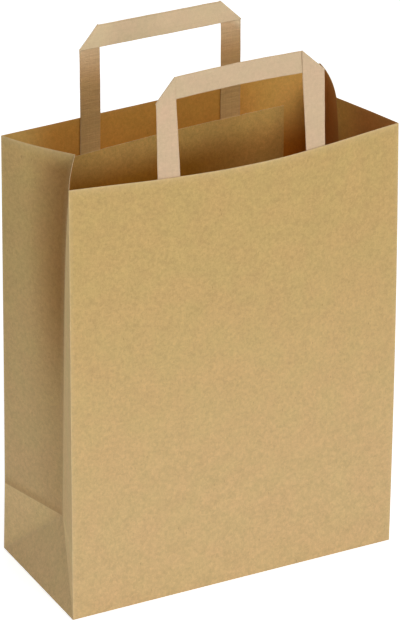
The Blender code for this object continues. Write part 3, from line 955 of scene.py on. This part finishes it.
def tape_paper(name, bar, leg, wrinkle):
    """Smooth pale paper tape: a folded strip with a faint line near each long edge, darker edges and fine
    wrinkles across, whose tone is painted shade and light along their relief. The bar and the legs have a
    colour each."""
    material, n, shader = start_material(name, TAPE_ROUGHNESS, SHINE)
    across, along = n.split(n.sheet())[:2]
    near = n.math("PINGPONG", across, TAPE_WIDTH / 2)
    border = n.soft(near, 0.0, BORDER_WIDTH, 1.0, 0.0)
    ply = n.soft(n.apart(near, PLY_PLACE), 0.0, PLY_WIDTH, 1.0, 0.0)
    creased = n.noise(n.mapping(n.place(), WRINKLE_TURN, WRINKLE_STRETCH), *WRINKLE_GRAIN)
    leg_length = LEG_TUCK + (FRONT["rise"] + BACK["rise"]) / 2
    legs = n.math("PINGPONG", along, leg_length + HANDLE_WIDTH / 2)
    on_leg = n.soft(legs, leg_length - LEG_BLEND, leg_length, 1.0, 0.0)
    colour = n.mix(on_leg, bar(n), leg(n))
    fibres = use(n, FIBRES, Color=colour, Amount=TAPE_GRAIN, Shives=TAPE_SHIVES)
    crossed = n.times(n.remap(creased, *WRINKLE_RANGE, -1.0, 1.0), wrinkle, n.plus(BAR_WRINKLE, on_leg))
    # The wrinkles' tone is painted shade and light that follows their relief.
    tone = n.minus(n.plus(1.0, n.times(crossed, WRINKLE_TONE)), n.times(ply, PLY_TONE))
    shaded = n.tone(fibres["Color"], tone)
    rubbed = use(n, WEAR, Color=shaded, Worn=rgb(BORDER_COLOUR), Mask=border, Amount=BORDER_STRENGTH)
    n.put(shader.inputs["Base Color"], rubbed["Color"])
    height = n.plus(fibres["Height"], n.times(crossed, WRINKLE_RELIEF))
    emboss(n, shader, n.minus(height, n.times(ply, PLY_RELIEF)), PLAIN_BUMP)
    return material


def even(code):
    """The same colour all over."""
    return lambda n: rgb(code)


def up_down(n, heights, low, high):
    """A colour that changes smoothly with height."""
    return n.mix(n.soft(n.split(n.place())[2], *heights), low, high)


def outside_colour(n):
    """Painted light: a little paler towards the foot, where the floor lights it more."""
    return up_down(n, OUTSIDE_HEIGHTS, rgb("cfb07e"), rgb("c1a268"))


def inside_colour(n):
    """Painted shade and light inside the bag: plain kraft low down, deeper and redder under the patch as
    painted shade whose redness stands in for light through the paper, and paler near the rim at both ends of
    the panel as painted light."""
    x, y, z = n.split(n.place())
    low = up_down(n, DEEP_HEIGHTS, rgb("cfb07e"), rgb("b05e08"))
    deep = up_down(n, INSIDE_HEIGHTS, low, rgb("cb9040"))
    left = n.soft(x, *INSIDE_LEFT, 1.0, 0.0)
    right = n.times(n.soft(x, *INSIDE_RIGHT), n.soft(z, *INSIDE_RIGHT_HEIGHTS))
    return n.mix(right, n.mix(left, deep, rgb("d6b062")), rgb("e2ae5c"))


def patch_colour(n):
    """Painted shade: darker low down inside the bag, and less so at the right."""
    right = n.soft(n.split(n.place())[0], *PATCH_RIGHT)
    return up_down(n, PATCH_HEIGHTS, n.mix(right, rgb("a26a1f"), rgb("be8a44")), rgb("d6ac62"))


def back_leg_colour(n):
    """Painted shade: darkest just below the rim, and paler towards the bar."""
    low = up_down(n, LEG_FOOT_HEIGHTS, rgb("c89e64"), rgb("b78f5c"))
    return up_down(n, LEG_TOP_HEIGHTS, low, rgb("cfae86"))


# Outside, the crease hollows get painted shade and the bottom's outer triangles and gusset front halves
# painted light.
OUTSIDE = sheet_paper(
    "kraft_outside", outside_colour, worn="d9c194", shade="a27842", flap="dcbe88", amount=1.0, wear=0.40,
    shine=SHINE,
)
# Inside, the gussets get painted shade in the shade colour.
INSIDE = sheet_paper(
    "kraft_inside", inside_colour, worn="cfa262", shade="b87b3d", flap="b88038", amount=0.9, wear=0.30,
    shine=DULL_SHINE, shade_mask="Corner",
)
CUT_EDGE = plain_paper("cut_edge", even("dcc49a"), 0.5)
LAYER = plain_paper("bottom_paper", even("c8ab76"), 1.0)
PATCH = plain_paper("patch_paper", patch_colour, 1.2, DULL_SHINE)
FRONT_TAPE = tape_paper("front_tape", even("cab190"), even("ceb292"), 0.35)
# The back tape's bar is painted paler than the front tape's, painted light, and its legs carry painted shade.
BACK_TAPE = tape_paper("back_tape", even("dac19b"), back_leg_colour, 1.0)


# Pieces


finish_piece(bag_sheet(), [OUTSIDE, INSIDE, CUT_EDGE], "bag_body", thickness=SHEET)

# The inner layer's edges end in the middle of the walls' thickness, so that no light comes in between them.
inner_y = HALF_D - SHEET / 2
inner = bottom_layer("bottom_inner", -inner_y, inner_y, INNER_LEVEL, SHEET / 2, False)
finish_piece(inner, [INSIDE, LAYER, CUT_EDGE], thickness=SHEET)

for name, low_y, high_y, level, inset in (
    ("back_bottom_flap", -FLAP_LAP, HALF_D - FLAP_INSET, BACK_FLAP_LEVEL, FLAP_INSET),
    ("front_bottom_flap", -HALF_D + 2 * FLAP_INSET, FLAP_LAP, FRONT_FLAP_LEVEL, 2 * FLAP_INSET),
):
    flap = bottom_layer(name, low_y, high_y, level, inset, True)
    finish_piece(flap, [LAYER, LAYER, CUT_EDGE], thickness=FLAP_SHEET)

finish_piece(seam_strip(), [OUTSIDE, OUTSIDE, CUT_EDGE], thickness=SEAM_SHEET)

for name, handle, paper in (("front_handle", FRONT, FRONT_TAPE), ("back_handle", BACK, BACK_TAPE)):
    finish_piece(tape_handle(name + "_tape", handle), [paper], name, STRIP_SHARP)
    strip = handle_patch(name + "_strip", handle)
    papers = [PATCH, PATCH, CUT_EDGE]
    finish_piece(strip, papers, name + "_patch", STRIP_SHARP, thickness=SHEET, offset=0)


# Floor, lights and camera


def seen_rays(n):
    """1 for what the camera sees, also in gloss and through glass, and 0 for the light itself."""
    path = n.add("ShaderNodeLightPath").outputs
    return n.most(path["Is Camera Ray"], path["Is Glossy Ray"], path["Is Transmission Ray"])


def stage_floor():
    """A pale floor. The camera sees it as white with the bag's soft shadow."""
    square = ((-1, -1), (1, -1), (1, 1), (-1, 1))
    corners = [(x * STAGE_REACH, y * STAGE_REACH, STAGE_LEVEL) for x, y in square]
    mesh = bpy.data.meshes.new("floor")
    mesh.from_pydata(corners, [], [(0, 1, 2, 3)])
    floor = bpy.data.objects.new("floor", mesh)
    bpy.context.scene.collection.objects.link(floor)
    material, n, shader = start_material("pale_floor", STAGE_ROUGHNESS, 0.0)
    shader.inputs["Base Color"].default_value = STAGE_GREY
    shader.inputs["Emission Strength"].default_value = 1.0
    n.put(shader.inputs["Emission Color"], n.mix(seen_rays(n), BLACK, STAGE_SEEN))
    mesh.materials.append(material)


def studio_world():
    """Even soft light from all round, seen as white."""
    world = bpy.data.worlds.new("studio")
    bpy.context.scene.world = world
    world.use_nodes = True
    n = Nodes(world.node_tree)
    background = world.node_tree.nodes["Background"]
    background.inputs["Color"].default_value = WHITE
    n.put(background.inputs["Strength"], n.remap(seen_rays(n), 0.0, 1.0, WORLD_LIGHT, 1.0))


def soft_lamp(name, place, aim, size, power, tint=(1.0, 1.0, 1.0)):
    """A square lamp at one place that looks at another."""
    lamp = bpy.data.lights.new(name, "AREA")
    lamp.shape = "SQUARE"
    lamp.size = size
    lamp.energy = power
    lamp.color = tint
    holder = bpy.data.objects.new(name, lamp)
    turn = (Vector(aim) - Vector(place)).to_track_quat("-Z", "Y").to_matrix().to_4x4()
    holder.matrix_world = Matrix.Translation(place) @ turn
    bpy.context.scene.collection.objects.link(holder)


def photo_camera():
    """The camera of the photograph: its angle, its distance and its long lens. It looks at a point on the
    bag's middle line, from which it is then moved right and up in its own plane."""
    a, e, roll = (math.radians(angle) for angle in (CAMERA_AZIMUTH, CAMERA_ELEVATION, CAMERA_ROLL))
    back = np.array([math.sin(a) * math.cos(e), -math.cos(a) * math.cos(e), math.sin(e)])
    side = np.array([math.cos(a), math.sin(a), 0.0])
    up = np.cross(back, side)
    right = math.cos(roll) * side + math.sin(roll) * up
    upward = math.cos(roll) * up - math.sin(roll) * side
    place = np.array([0.0, 0.0, CAMERA_AIM_HEIGHT]) + back * CAMERA_DISTANCE
    place = place + right * CAMERA_RIGHT + upward * CAMERA_UP
    data = bpy.data.cameras.new("photo_camera")
    data.sensor_width = CAMERA_SENSOR
    data.lens = CAMERA_LENS
    data.clip_end = CAMERA_SIGHT
    camera = bpy.data.objects.new("photo_camera", data)
    matrix = np.eye(4)
    matrix[:3] = np.stack([right, upward, back, place], -1)
    camera.matrix_world = Matrix(matrix.tolist())
    bpy.context.scene.collection.objects.link(camera)
    bpy.context.scene.camera = camera


photo_camera()
studio_world()
stage_floor()
for name, lamp in LAMPS.items():
    soft_lamp(name, **lamp)
bpy.context.scene.view_settings.view_transform = "Standard"
